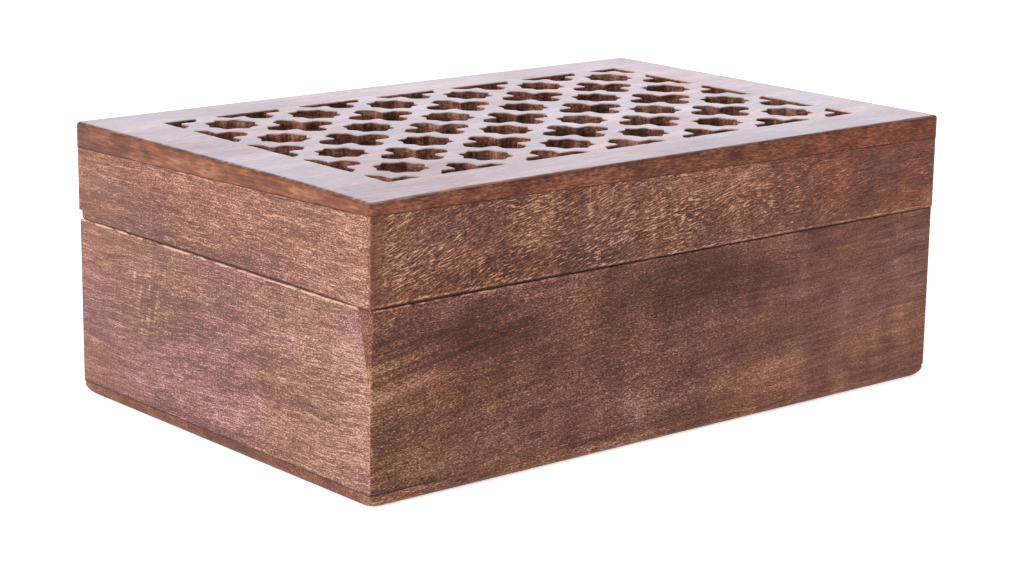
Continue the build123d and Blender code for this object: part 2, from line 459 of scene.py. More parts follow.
def worn_corner(node):
    """A base wall with the facets worn off at the near corner. They have the mesh's second slot."""
    data = nodes[node].data.copy()
    data.name = node + "_worn"
    data.materials.clear()
    work = bmesh.new()
    work.from_mesh(data)
    bmesh.ops.remove_doubles(work, verts=work.verts, dist=TOLERANCE)
    corner = Vector((-base_half_length, -base_half_width, seam_height)) * MM
    for height, along_front, along_side in CORNER_FACETS:
        outward = Vector((-1 / along_front, -1 / along_side, 1 / height))
        touch = corner - Vector((0, 0, height * MM))
        geometry = work.verts[:] + work.edges[:] + work.faces[:]
        cut = bmesh.ops.bisect_plane(work, geom=geometry, plane_co=touch, plane_no=outward, clear_outer=True)
        rim = [element for element in cut["geom_cut"] if isinstance(element, bmesh.types.BMEdge)]
        for face in bmesh.ops.holes_fill(work, edges=rim)["faces"]:
            face.material_index = 1
    work.to_mesh(data)
    work.free()
    return finish_mesh(data)


base_walls = {}
for side in ("front", "left"):
    node = f"base_{side}_board"
    base_walls[side] = add_piece(worn_corner(node), "base", node)


# Hinge screws


def slotted_screw(head_radius, length, steps=14):
    """Points and faces of a countersunk wood screw, its slot along x, its head at the origin facing up."""
    half = SCREW_SLOT_WIDTH / 2
    collar_start = math.asin(half / SCREW_SHANK_RADIUS)
    floor_reach = math.sqrt((head_radius - SCREW_SLOT_DEPTH) ** 2 - half**2)
    points = []
    faces = []

    def ring(radius, depth, start):
        """Adds a ring in two halves, one to each side of the slot."""
        halves = []
        for turn in (0, math.pi):
            first = len(points)
            for step in range(steps + 1):
                angle = turn + start + (math.pi - 2 * start) * step / steps
                points.append(Vector((radius * math.cos(angle), radius * math.sin(angle), -depth)))
            halves.append(list(range(first, len(points))))
        return halves

    flat_radius = head_radius - SCREW_EDGE
    edge_radius = head_radius - SCREW_EDGE_INSET
    face = ring(flat_radius, 0, math.asin(half / flat_radius))
    edge = ring(edge_radius, SCREW_EDGE, math.asin(half / edge_radius))
    collar = ring(SCREW_SHANK_RADIUS, SCREW_HEAD_DEPTH, collar_start)
    shank = ring(SCREW_SHANK_RADIUS, length - SCREW_POINT, collar_start)
    point = ring(SCREW_TIP_RADIUS, length, collar_start)
    floor = []
    for x, y in ((1, 1), (-1, 1), (-1, -1), (1, -1)):
        floor.append(len(points))
        points.append(Vector((x * floor_reach, y * half, -SCREW_SLOT_DEPTH)))
    faces.append(tuple(floor))
    for side, (start, end) in enumerate((floor[:2], floor[2:])):
        faces += [
            tuple(face[side]),
            (face[side][0], face[side][-1], edge[side][-1], end, start, edge[side][0]),
            (edge[side][0], start, collar[side][0]),
            (edge[side][-1], end, collar[side][-1]),
            (end, floor[2 - 2 * side], collar[1 - side][0], collar[side][-1]),
        ]
        for upper, lower in ((face[side], edge[side]), (edge[side], collar[side])):
            faces += zip(upper, upper[1:], lower[1:], lower)
    for upper, lower in ((collar, shank), (shank, point)):
        faces += band(upper[0] + upper[1], lower[0] + lower[1])
    faces.append(tuple(point[0] + point[1]))
    return points, faces


def screw_set(node, facing):
    """The screws of one kind, each with its slot left at some angle. They face up (1) or down (-1)."""
    low, high = [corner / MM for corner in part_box(node)]
    head_radius = (high.y - low.y) / 2
    outer = high.x - head_radius
    head = Vector((0, (low.y + high.y) / 2, high.z if facing > 0 else low.z))
    points = []
    faces = []
    for x in (-outer, SCREW_SPACING - outer, outer - SCREW_SPACING, outer):
        turn = Matrix.Rotation(0 if facing > 0 else math.pi, 3, "X")
        turn = turn @ Matrix.Rotation(rng.uniform(0, math.pi), 3, "Z")
        own_points, own_faces = slotted_screw(head_radius, high.z - low.z)
        first = len(points)
        points += [turn @ point + head + Vector((x, 0, 0)) for point in own_points]
        faces += [tuple(first + vertex for vertex in face) for face in own_faces]
    return finish_mesh(new_mesh(node + "_slotted", points, faces), sharp=25)


screws = []
for part, facing in (("base", 1), ("lid", -1)):
    node = f"hinge_{part}_screws"
    screws.append(add_piece(screw_set(node, facing), part, node))


# Materials


def new_material(name, settings):
    """A material whose shader has these settings."""
    material = bpy.data.materials.new(name)
    material.use_nodes = True
    for key, value in settings.items():
        material.node_tree.nodes["Principled BSDF"].inputs[key].default_value = value
    return material


class Value:
    """A number in a node tree, which is added, subtracted and multiplied like any other."""

    def __init__(self, graph, socket):
        self.graph = graph
        self.socket = socket

    def __add__(self, other):
        return self.graph.math("ADD", self, other)

    def __sub__(self, other):
        return self.graph.math("SUBTRACT", self, other)

    def __rsub__(self, other):
        return self.graph.math("SUBTRACT", other, self)

    def __mul__(self, other):
        return self.graph.math("MULTIPLY", self, other)

    __radd__ = __add__
    __rmul__ = __mul__


class Graph:
    """A material's node tree, built up from its texture coordinates."""

    def __init__(self, name, colour, roughness, metallic=0.0, specular=0.5):
        settings = {"Base Color": (*colour, 1), "Roughness": roughness}
        self.material = new_material(name, settings | {"Metallic": metallic, "Specular IOR Level": specular})
        self.material.diffuse_color = (*colour, 1)
        self.tree = self.material.node_tree
        self.shader = self.tree.nodes["Principled BSDF"]
        place = self.add("ShaderNodeTexCoord").outputs["Object"]
        scaled = self.add("ShaderNodeVectorMath", operation="SCALE")
        self.put(place, scaled.inputs[0])
        scaled.inputs["Scale"].default_value = 1 / MM
        split = self.add("ShaderNodeSeparateXYZ")
        self.put(scaled.outputs[0], split.inputs[0])
        self.place = [Value(self, output) for output in split.outputs]
        self.x, self.y, self.z = self.place

    def add(self, kind, **settings):
        node = self.tree.nodes.new(kind)
        for key, value in settings.items():
            setattr(node, key, value)
        return node

    def put(self, value, socket):
        """Links a value or a socket, or sets a constant on the input."""
        value = value.socket if isinstance(value, Value) else value
        if isinstance(value, bpy.types.NodeSocket):
            self.tree.links.new(value, socket)
        elif isinstance(value, tuple) and len(value) == 3 and socket.type == "RGBA":
            socket.default_value = (*value, 1)
        else:
            socket.default_value = value

    def math(self, operation, *values, clamp=False):
        node = self.add("ShaderNodeMath", operation=operation, use_clamp=clamp)
        for value, socket in zip(values, node.inputs):
            self.put(value, socket)
        return Value(self, node.outputs[0])

    def larger(self, a, b):
        return self.math("MAXIMUM", a, b)

    def vector(self, x, y, z):
        node = self.add("ShaderNodeCombineXYZ")
        for value, socket in zip((x, y, z), node.inputs):
            self.put(value, socket)
        return node.outputs[0]

    def noise(self, place, rates, detail=2.0, roughness=0.5, seed=0.0):
        """Smooth noise from 0 to 1 that changes about so often per millimetre along each axis."""
        node = self.add("ShaderNodeTexNoise", noise_dimensions="4D")
        cells = [value * rate for value, rate in zip(place, rates)]
        self.put(self.vector(*cells), node.inputs["Vector"])
        node.inputs["W"].default_value = seed
        node.inputs["Scale"].default_value = 1.0
        node.inputs["Detail"].default_value = detail
        node.inputs["Roughness"].default_value = roughness
        return Value(self, node.outputs["Fac"])

    def swing(self, value, strength):
        """Noise as a change to both sides of nothing."""
        return (value - 0.5) * strength

    def rise(self, value, low, high):
        """From 0 to 1 as the value goes from low to high, or back if low is the larger."""
        node = self.add("ShaderNodeMapRange", interpolation_type="SMOOTHSTEP")
        self.put(value, node.inputs["Value"])
        self.put(low, node.inputs["From Min"])
        self.put(high, node.inputs["From Max"])
        return Value(self, node.outputs["Result"])

    def window(self, value, start, end):
        """1 between two fades, each given by the values where it is 0 and where it is 1."""
        return self.rise(value, *start) * self.rise(value, *end)

    def mix(self, factor, a, b, blend="MIX"):
        node = self.add("ShaderNodeMix", data_type="RGBA", blend_type=blend)
        self.put(factor, node.inputs["Factor"])
        self.put(a, node.inputs[6])
        self.put(b, node.inputs[7])
        return node.outputs[2]

    def tint(self, factor, colour, by):
        """The colour multiplied by another one, as far as the factor says."""
        return self.mix(factor, colour, by, "MULTIPLY")

    def ramp(self, value, stops):
        node = self.add("ShaderNodeValToRGB")
        elements = node.color_ramp.elements
        while len(elements) < len(stops):
            elements.new(0.5)
        for element, (position, colour) in zip(elements, stops):
            element.position = position
            element.color = (*colour, 1)
        self.put(value, node.inputs["Fac"])
        return node.outputs["Color"]

    def finish(self, colour, roughness, height, depth):
        """Wires the colour, the roughness and a relief so many millimetres deep to the shader."""
        self.put(colour, self.shader.inputs["Base Color"])
        self.put(roughness, self.shader.inputs["Roughness"])
        bump = self.add("ShaderNodeBump")
        bump.inputs["Distance"].default_value = depth * MM
        bump.inputs["Strength"].default_value = 1.0
        self.put(height, bump.inputs["Height"])
        self.put(bump.outputs["Normal"], self.shader.inputs["Normal"])
        return self.material


def patch(graph, place, centre, reach, strength):
    """A soft lighter or darker cloud on a face."""
    mapping = graph.add("ShaderNodeMapping", vector_type="TEXTURE")
    graph.put(place, mapping.inputs["Vector"])
    mapping.inputs["Location"].default_value = (*centre, 0)
    mapping.inputs["Scale"].default_value = (*reach, 1)
    ball = graph.add("ShaderNodeTexGradient", gradient_type="SPHERICAL")
    graph.put(mapping.outputs[0], ball.inputs[0])
    return graph.rise(ball.outputs["Fac"], 0.0, 0.8) * strength


def thin_line(graph, across, up, start, end, width):
    """1 on a line drawn between two places on a face, 0 off it."""
    length = math.dist(start, end)
    slope = ((end[0] - start[0]) / length, (end[1] - start[1]) / length)
    dx = across - start[0]
    dz = up - start[1]
    along = dx * slope[0] + dz * slope[1]
    off = graph.math("ABSOLUTE", dx * slope[1] - dz * slope[0])
    ends = graph.window(along, (0.0, 0.3 * length), (length, 0.7 * length))
    return graph.rise(off, width, 0.3 * width) * ends


def near_outside(graph, length, width, reach):
    """1 at the ends and at the sides of a box of that half length and half width, 0 past the reach."""
    faces = ((graph.x, length), (graph.y, width))
    return [
        graph.rise(graph.math("ABSOLUTE", place), half - reach, half - 0.4 * reach) for place, half in faces
    ]


# How much a sloping grain levels out towards the far end of its board, per millimetre
GRAIN_CURL = 0.003
# How often each layer of the grain changes along the grain, across it and into the board, per millimetre
GRAIN_LAYERS = {
    "clouds": (0.012, 0.05, 0.05),
    "ribbon": (0.075, 0.018, 0.05),
    "mottle": (0.11, 0.2, 0.2),
    "lines": (0.03, 0.8, 0.2),
    "streaks": (0.09, 2.2, 2.2),
    "flecks": (0.3, 3.2, 3.2),
    "specks": (1.2, 4.0, 4.0),
}
FINE_LAYERS = ("streaks", "flecks", "specks")
SHORT_LAYERS = ("flecks", "specks")
# The same for pale dashes and dark pores, the fields where dashes lie, and clouds of another hue
DASHES = (0.27, 2.4, 2.4)
DASH_FIELDS = (0.04, 0.07, 0.05)
HUE_CLOUDS = (0.022, 0.06, 0.05)
# Short strokes are crisp towards the near end of a wall, and soft at the near edge of the lid's front
CRISP_ENDS = {"x": (95, -90), "y": (70, -60)}
SOFT_EDGE = (-113, -107)
# Painted light: where the side walls get lighter towards the near corner
CORNER_LIGHT = (-55, -74)
# Scratches across the grain: how many a millimetre, their lean, and the centre and reach of their place
SCRATCHES = (0.62, 0.07, 0.0)
SCRATCH_LEAN = 0.22
SCRATCH_PLACE = ((33, 37), (17, 17))
# Outer faces get their marks this far in
OUTSIDE_DEPTH = 0.6
# The seam's painted shade fades to a hint at the right of the front and at both ends of the left side, where
# the seam closes. It reaches higher along the near half of the front and the middle of the left side, where
# the seam gapes
SEAM_FRONT_OPEN = (105, 50)
SEAM_LEFT_OPEN = ((72, 58), (-72, -60))
SEAM_HINT = 0.25
GAPE_FRONT = ((20, -60), (-116, -98))
GAPE_LEFT = ((60, 10), (-74, -30))
GAPE_HEIGHTS = (0.3, 0.4)
# How far the lid's edge has painted shade above the seam, the fades of that and of a pale lip from there, and
# the fades of the base's pale rim and of its painted shade from the seam. Lip and rim are worn and partly
# painted highlights
LID_SHADE = 0.6
LID_SHADE_FADE = (0.0, -0.5)
LID_LIP = ((-0.25, 0.0), (0.8, 0.3))
BASE_RIM = ((-1.05, -0.75), (-0.25, -0.5))
BASE_SEAM_SHADE = (-0.35, -0.1)
# The joint over the bottom board fades upwards, and along the front, where only the left end shows it
FLOOR_JOINT = (0.7, 0.2)
FLOOR_JOINT_END = (-60, -100)
# How dark the painted shade in a seam or a groove is, also a joint line or a crack, and the end grain of the
# bottom board
SHADE_AND_CRACK = (0.13, 0.06, 0.04)
END_GRAIN = (0.8, 0.72, 0.6)
# Tints: mauve and golden clouds, the reddish end of the lid's front, and two for single places
BLUSH = (0.94, 0.87, 1.14)
GLOW = (1.1, 0.98, 0.78)
EMBER = (1.24, 0.94, 0.78)
GOLD = (0.86, 0.92, 0.76)
TAN = (1.05, 0.92, 0.8)


@dataclass
class Board:
    """How the wood of a wall or of the floor looks. Strengths are changes of tone, from 0 to 1.

    Slope, sway and ripple bend the grain. Short divides the length of flecks and dashes, and calm is
    how strong short strokes are at the far end.
    """

    along: str
    part: str
    tones: list
    seed: float
    weights: dict
    level: float
    slope: float = 0.0
    sway: float = 9.0
    ripple: float = 0.0
    short: float = 1.0
    calm: float = 0.5
    dashes: float = 0.2
    pores: float = 0.14
    # How much lighter the side walls are painted towards the near corner
    corner: float = 0.0
    blush: float = 0.7
    glow: float = 0.5
    ember: float = 0.0
    # How pale the outer edges are worn, partly a painted highlight where they catch the light
    edge_wear_and_highlight: float = 0.28
    scuffs: float = 0.0
    streaks: tuple = ()
    cracks: tuple = ()
    tints: tuple = ()
    patches: tuple = ()


def grain_place(graph, board):
    """Places along the grain, across it and into the board, and how far the grain wanders there."""
    run, through = (graph.x, graph.y) if board.along == "x" else (graph.y, graph.x)
    plain = (run, graph.z, through)
    drift = graph.noise(plain, (0.014, 0.025, 0.02), seed=board.seed)
    wander = graph.noise(plain, (0.06, 0.1, 0.1), detail=1, seed=board.seed + 40)
    bend = graph.swing(drift, board.sway) + graph.swing(wander, 0.3 * board.sway)
    lean = run * (board.slope - run * (GRAIN_CURL * board.slope))
    flow = graph.z - lean + bend
    if board.ripple:
        wave = graph.noise(plain, (0.2, 0.3, 0.3), detail=1, seed=board.seed + 43)
        flow += graph.swing(wave, board.ripple)
    return (run, flow, through), bend


def grain_tone(graph, board, place, bend):
    """The tone of the wood from its grain, and the layers of that grain."""
    run, flow, through = place
    nearness = graph.rise(run, *CRISP_ENDS[board.along])
    crisp = graph.math("MINIMUM", board.calm + nearness, 1.0)
    if board.along == "x" and board.part == "lid":
        crisp *= 0.4 + graph.rise(run, *SOFT_EDGE) * 0.6
    tone = board.level
    layers = {}
    for index, (layer, rates) in enumerate(GRAIN_LAYERS.items()):
        height = graph.z if layer == "ribbon" else flow
        if layer == "flecks":
            rates = (rates[0] * board.short, *rates[1:])
        layers[layer] = graph.noise(
            (run, height, through), rates, detail=1 if layer in FINE_LAYERS else 3, roughness=0.55,
            seed=board.seed + 1.7 * (index + 1),
        )
        change = graph.swing(layers[layer], board.weights[layer])
        tone += change * crisp if layer in SHORT_LAYERS else change
    field = graph.noise((run, graph.z, through), DASH_FIELDS, seed=board.seed + 25)
    dash = graph.noise(place, (DASHES[0] * board.short, *DASHES[1:]), detail=0, seed=board.seed + 27)
    shown = graph.rise(field, 0.38, 0.6) * crisp * crisp * board.dashes
    pale = graph.rise(dash, 0.56, 0.7) * shown
    pores = graph.rise(dash, 0.42, 0.28) * crisp * board.pores
    tone += pale - pores
    warp = graph.swing(field, 24)
    bent = graph.vector(run + warp, graph.z + bend + warp * 0.4, 0)
    for centre, reach, strength in board.patches:
        tone += patch(graph, bent, centre, reach, strength)
    # Painted light: the side walls lighter towards the near corner
    if board.corner:
        tone += graph.rise(run, *CORNER_LIGHT) * board.corner
    if board.scuffs:
        slanted = run + graph.z * SCRATCH_LEAN
        scratch = graph.noise((slanted, graph.z, 0.0), SCRATCHES, detail=1, seed=board.seed + 50)
        rubbed = patch(graph, bent, *SCRATCH_PLACE, board.scuffs)
        broken = graph.rise(layers["flecks"], 0.3, 0.6)
        tone += graph.rise(scratch, 0.5, 0.64) * rubbed * broken
    for start, end, width, strength in board.streaks:
        line = thin_line(graph, run, graph.z + bend * 0.25, start, end, width)
        tone += line * layers["flecks"] * strength
    return tone, layers


def edge_marks(graph, board):
    """Where the board's edges are worn pale, partly a painted highlight, and where its outside has painted
    shade in the seam or a dark joint line.
    """
    if board.part == "floor":
        return 0.0, 0.0
    half_sizes = (half_length, half_width) if board.part == "lid" else (base_half_length, base_half_width)
    ends, sides = near_outside(graph, *half_sizes, OUTSIDE_DEPTH)
    rub = graph.noise(graph.place, (0.16, 0.16, 0.2), seed=4.0)
    front_gap = graph.larger(graph.rise(graph.x, *SEAM_FRONT_OPEN), SEAM_HINT)
    left_gap = graph.larger(graph.window(graph.y, *SEAM_LEFT_OPEN), SEAM_HINT)
    gap = graph.larger(sides * front_gap, ends * left_gap)
    over = graph.z - seam_height
    if board.part == "lid":
        front = graph.window(graph.x, *GAPE_FRONT) * sides * GAPE_HEIGHTS[0]
        left = graph.window(graph.y, *GAPE_LEFT) * ends * GAPE_HEIGHTS[1]
        over -= LID_SHADE + front + left
        # Painted shade on the lid's edge above the seam
        seam_shade_and_joint = graph.rise(over, *LID_SHADE_FADE) * gap
        # A pale lip over it, worn and partly a painted highlight
        lip_wear_and_highlight = graph.window(over, *LID_LIP) * sides * (0.7 * board.edge_wear_and_highlight) * graph.rise(rub, 0.3, 0.5)
        return lip_wear_and_highlight, seam_shade_and_joint
    outside = graph.larger(ends, sides)
    near = 0.5 + graph.rise(graph.x, -20, -90)
    # The base's top edge and its corners are worn pale, partly a painted highlight where they catch the light
    rim = graph.window(over, *BASE_RIM) * outside * board.edge_wear_and_highlight * near
    wear_and_highlight = graph.larger(rim, ends * sides * 0.12) * graph.rise(rub, 0.38, 0.6)
    # Painted shade at the seam under the lid's edge
    seam_shade = graph.rise(over, *BASE_SEAM_SHADE) * gap
    joint = graph.rise(graph.z - base_floor, *FLOOR_JOINT)
    joint = joint * graph.rise(graph.x, *FLOOR_JOINT_END) * outside * 0.8
    return wear_and_highlight, graph.larger(seam_shade, joint)


def wall_wood(name, board):
    """Oiled wood for a wall or for the floor."""
    graph = Graph(name, board.tones[2][1], 0.5, specular=0.2)
    place, bend = grain_place(graph, board)
    tone, layers = grain_tone(graph, board, place, bend)
    wear_and_highlight, seam_shade_and_joint = edge_marks(graph, board)
    colour = graph.ramp(tone + wear_and_highlight, board.tones)
    for shift, strength, tint in ((30, board.blush, BLUSH), (35, board.glow, GLOW)):
        cloud = graph.noise(place, HUE_CLOUDS, detail=3, seed=board.seed + shift)
        colour = graph.tint(graph.rise(cloud, 0.42, 0.62) * strength, colour, tint)
    if board.part == "floor":
        ends, sides = near_outside(graph, base_half_length, base_half_width, 6.0)
        colour = graph.tint(ends * (1.0 - sides), colour, END_GRAIN)
    for centre, reach, tint in board.tints:
        cloud = patch(graph, graph.vector(place[0], graph.z, 0), centre, reach, 1.0)
        colour = graph.tint(cloud, colour, tint)
    if board.ember:
        cloud = graph.noise(place, (0.06, 0.1, 0.1), detail=3, seed=board.seed + 37)
        glowing = graph.rise(cloud, 0.36, 0.56) * graph.rise(graph.x, 0, 90) * board.ember
        colour = graph.tint(glowing, colour, EMBER)
    # Painted shade in the seam, and the dark joint line over the bottom board
    colour = graph.tint(seam_shade_and_joint * 0.95, colour, SHADE_AND_CRACK)
    for start, end, width in board.cracks:
        crack = thin_line(graph, graph.x, graph.z, start, end, width) * 0.7
        colour = graph.tint(crack, colour, SHADE_AND_CRACK)
    gloss = 0.4 + layers["clouds"] * 0.2
    relief = layers["streaks"] * 0.4 + layers["flecks"] * 0.6
    return graph.finish(colour, gloss, relief, 0.12)


def surface_height(graph):
    """The height of the top board's upper face, which dips at the near corner."""
    dx = graph.x + half_length
    dy = graph.y + half_width
    reach = graph.math("SQRT", dx * dx + dy * dy)
    closeness = graph.math("SUBTRACT", 1.0, reach * (1 / CORNER_DIP_REACH), clamp=True)
    return panel_top - closeness * closeness * CORNER_DIP


ABOVE_TONES = [(0.34, (0.06, 0.03, 0.024)), (0.5, (0.19, 0.1, 0.08)), (0.66, (0.44, 0.29, 0.25))]
UNDER_TONES = [(0.36, (0.06, 0.022, 0.014)), (0.5, (0.12, 0.047, 0.028)), (0.64, (0.2, 0.09, 0.055))]
HOLE_TONES = [(0.37, (0.026, 0.014, 0.014)), (0.5, (0.145, 0.058, 0.042)), (0.63, (0.41, 0.21, 0.15))]
EDGE_TONES = [(0.34, (0.06, 0.016, 0.0085)), (0.5, (0.145, 0.046, 0.024)), (0.66, (0.31, 0.125, 0.068))]
# Reddish and bluish clouds on the top, the painted highlight on the rims of its cut-outs and the painted
# shade along its outer edge
TOP_BLOOM = (1.2, 0.96, 0.92)
TOP_CHILL = (0.82, 0.95, 1.15)
RIM_HIGHLIGHT = (0.6, 0.46, 0.4)
TOP_EDGE_SHADE = (0.5, 0.38, 0.34)
# Fades of the rims' painted highlight, from the top downwards
RIM_FADES = ((-0.32, -0.14), (-0.005, -0.05))
# The top board's edge: mauve at the far left, paler along the left side and reddish at the right
EDGE_MAUVE = (0.7, 0.74, 0.95)
EDGE_PALE = (1.1, 1.16, 1.14)
EDGE_RED = (1.02, 0.84, 0.74)


def panel_below(graph, seed, ends, sides):
    """The colour of the top board's outer edge and of its cut-outs' walls, with their fibres."""
    fibres = graph.noise(graph.place, (1.1, 1.1, 0.16), detail=3, roughness=0.65, seed=seed + 9)
    mottle = graph.noise(graph.place, (0.09, 0.09, 0.2), detail=4, roughness=0.65, seed=seed + 11)
    grain = graph.noise(graph.place, (0.16, 0.16, 1.3), detail=3, roughness=0.6, seed=seed + 13)
    specks = graph.noise(graph.place, (0.5, 1.6, 2.6), detail=1, seed=seed + 15)
    wall_tone = fibres * 0.38 + mottle * 0.62 + graph.swing(specks, 0.3)
    hole = graph.ramp(wall_tone, HOLE_TONES)
    edge_tone = mottle * 0.55 + grain * 0.45 + graph.swing(specks, 0.55) * sides
    edge = graph.ramp(edge_tone, EDGE_TONES)
    edge = graph.tint(graph.rise(graph.y, 20, 75) * 0.8, edge, EDGE_MAUVE)
    edge = graph.tint(graph.rise(graph.y, 50, -10) * ends, edge, EDGE_PALE)
    edge = graph.tint(graph.rise(graph.x, -10, 100) * sides, edge, EDGE_RED)
    return graph.mix(graph.larger(ends, sides), hole, edge), fibres, mottle


def panel_wood(name, seed, specular):
    """The pierced top board: pale streaks above, reddish edges and fibrous cut-outs, with painted highlights
    on the cut-outs' rims and painted shade along the outer edge and in the groove under it.
    """
    graph = Graph(name, (0.22, 0.13, 0.12), 0.36, specular=specular)
    drift = graph.noise(graph.place, (0.01, 0.02, 0.02), seed=seed)
    flow = (graph.x, graph.y + graph.swing(drift, 14), graph.z)
    bands = graph.noise(flow, (0.012, 0.09, 0.05), detail=4, roughness=0.6, seed=seed + 1)
    lines = graph.noise(flow, (0.05, 0.9, 0.3), detail=3, roughness=0.65, seed=seed + 2)
    fleck = graph.noise(flow, (0.3, 2.2, 1.0), detail=1, seed=seed + 3)
    bloom = graph.noise(graph.place, (0.03, 0.03, 0.03), detail=3, seed=seed + 5)
    chill = graph.noise(graph.place, (0.045, 0.06, 0.05), detail=3, seed=seed + 6)
    ragged = graph.noise(graph.place, (0.45, 0.45, 0.8), detail=3, roughness=0.6, seed=seed + 7)
    tone = bands * 0.55 + lines * 0.45
    above = graph.ramp(tone + graph.swing(fleck, 0.3), ABOVE_TONES)
    above = graph.tint(graph.rise(bloom, 0.38, 0.62), above, TOP_BLOOM)
    above = graph.tint(graph.rise(chill, 0.42, 0.62), above, TOP_CHILL)
    ends, sides = near_outside(graph, half_length, half_width, 4.0)
    outside = graph.larger(ends, sides)
    below, fibres, mottle = panel_below(graph, seed, ends, sides)
    sunk = graph.z - surface_height(graph)
    top = graph.rise(sunk + graph.swing(ragged, 0.5), -0.6, -0.25)
    # Painted highlight on the eased rims of the cut-outs
    rim = graph.window(sunk, *RIM_FADES)
    pale = rim * (1.0 - outside) * (0.3 + ragged * 0.7)
    above = graph.mix(pale, above, RIM_HIGHLIGHT)
    # Painted shade: a ragged darker line where the top's outer edge turns down
    rubbed = graph.rise(sunk, -0.02, -0.45) * outside * graph.rise(ragged, 0.36, 0.62)
    above = graph.tint(rubbed, above, TOP_EDGE_SHADE)
    slant = graph.add("ShaderNodeSeparateXYZ")
    graph.put(graph.add("ShaderNodeNewGeometry").outputs["True Normal"], slant.inputs[0])
    downward = slant.outputs["Z"]
    below = graph.mix(graph.rise(downward, -0.75, -0.9), below, graph.ramp(tone, UNDER_TONES))
    colour = graph.mix(top, below, above)
    # Painted shade in the groove under the top board's edge, on faces that look down
    broken = graph.larger(ends * 0.8, sides * graph.rise(mottle, 0.42, 0.6))
    groove_shade = graph.rise(downward, -0.3, -0.6) * broken
    colour = graph.tint(groove_shade * 0.9, colour, SHADE_AND_CRACK)
    gloss = 0.14 + lines * 0.2 + bloom * 0.16
    relief = lines * 0.6 + fibres * 0.3 + fleck * 0.25
    return graph.finish(colour, gloss, relief, 0.1)


def metal(name, colour, roughness, seed):
    """Drawn metal with a dull, uneven surface."""
    graph = Graph(name, colour, roughness, metallic=1.0)
    stains = graph.noise(graph.place, (0.5, 0.5, 0.5), detail=4, roughness=0.6, seed=seed)
    brushed = graph.noise(graph.place, (0.4, 9.0, 9.0), seed=seed + 3)
    tarnish = graph.ramp(stains, [(0.35, tuple(0.55 * c for c in colour)), (0.62, colour)])
    gloss = roughness - 0.1 + stains * 0.25
    return graph.finish(tarnish, gloss, brushed, 0.02)


# All walls are one wood. The side walls' ramp is lighter and the front's darker: painted light on the sides
# and painted shade on the front, the back and the bottom board
SHADED_FRONT_TONES = [
    (0.1, (0.04, 0.011, 0.007)),
    (0.35, (0.092, 0.03, 0.018)),
    (0.52, (0.15, 0.055, 0.032)),
    (0.72, (0.26, 0.113, 0.066)),
    (0.98, (0.54, 0.32, 0.21)),
]
LIT_SIDE_TONES = [
    (0.1, (0.078, 0.03, 0.0215)),
    (0.35, (0.135, 0.056, 0.04)),
    (0.52, (0.186, 0.085, 0.06)),
    (0.72, (0.27, 0.138, 0.1)),
    (0.98, (0.47, 0.29, 0.215)),
]
# Clouds in each wall: centre along the wall and its height, reach both ways, strength
LID_FRONT_PATCHES = (
    ((-78, 64), (30, 10), -0.04),
    ((10, 76), (56, 8), 0.13),
    ((-55, 60), (64, 7), -0.14),
    ((70, 62), (40, 12), -0.05),
    ((-100, 72), (24, 12), 0.08),
)
BASE_FRONT_PATCHES = (
    ((-108, 34), (16, 16), 0.16),
    ((-60, 30), (50, 9), -0.08),
    ((-76, 43), (56, 12), -0.22),
    ((8, 45), (56, 13), -0.22),
    ((-98, 9), (26, 9), 0.14),
    ((-24, 12), (24, 12), 0.12),
    ((20, 14), (60, 9), 0.12),
    ((95, 30), (56, 26), 0.13),
    ((70, 10), (90, 18), 0.08),
)
# Long fibres at the near end of the base's front: start, end, width and strength
BASE_FRONT_STREAKS = (
    ((-131, 31.5), (-45, 46.0), 0.9, -0.42),
    ((-126, 28.5), (-80, 36.5), 1.7, 0.26),
    ((-128, 36.6), (-84, 42.6), 1.8, 0.28),
    ((-130, 33.8), (-78, 43.0), 0.5, -0.3),
    ((-122, 42.0), (-68, 48.0), 0.8, -0.24),
)
LID_SIDE_PATCHES = (
    ((-10, 77), (60, 6), 0.1),
    # Painted shade above the seam along the lid's left side
    ((10, 58), (56, 6), -0.18),
    ((32, 68), (40, 9), -0.14),
    ((-62, 70), (24, 18), 0.1),
    ((-70, 77), (16, 8), 0.14),
)
BASE_SIDE_PATCHES = (
    ((30, 34), (46, 12), -0.12),
    ((-52, 42), (44, 9), 0.16),
    ((-30, 24), (60, 5), -0.12),
    ((10, 14), (60, 6), 0.08),
    ((-20, 31), (16, 9), -0.14),
    ((0, 5), (74, 5), -0.16),
)
# Clouds of another hue: centre, reach and tint
BASE_FRONT_TINTS = (
    ((-112, 32), (22, 26), GOLD),
    ((-98, 8), (24, 10), GOLD),
)
LID_SIDE_TINTS = (((15, 79), (80, 12), TAN),)
BOTTOM_PATCHES = (
    ((-104, 2), (30, 8), 0.03),
    ((-32, 2), (46, 8), 0.2),
    ((85, 3), (40, 8), 0.1),
)
# Fine cracks at the lower left of the base's front: start, end and width
BASE_FRONT_CRACKS = (
    ((-101.6, 12.5), (-97.2, 7.5), 0.3),
    ((-108.5, 10.6), (-105.7, 6.0), 0.3),
    ((-112.3, 10.0), (-110.0, 6.7), 0.25),
    ((-96.4, 6.8), (-94.6, 4.4), 0.25),
)


def weights(*values):
    """How strongly each layer of the grain shows, in the order of the layers."""
    return dict(zip(GRAIN_LAYERS, values))


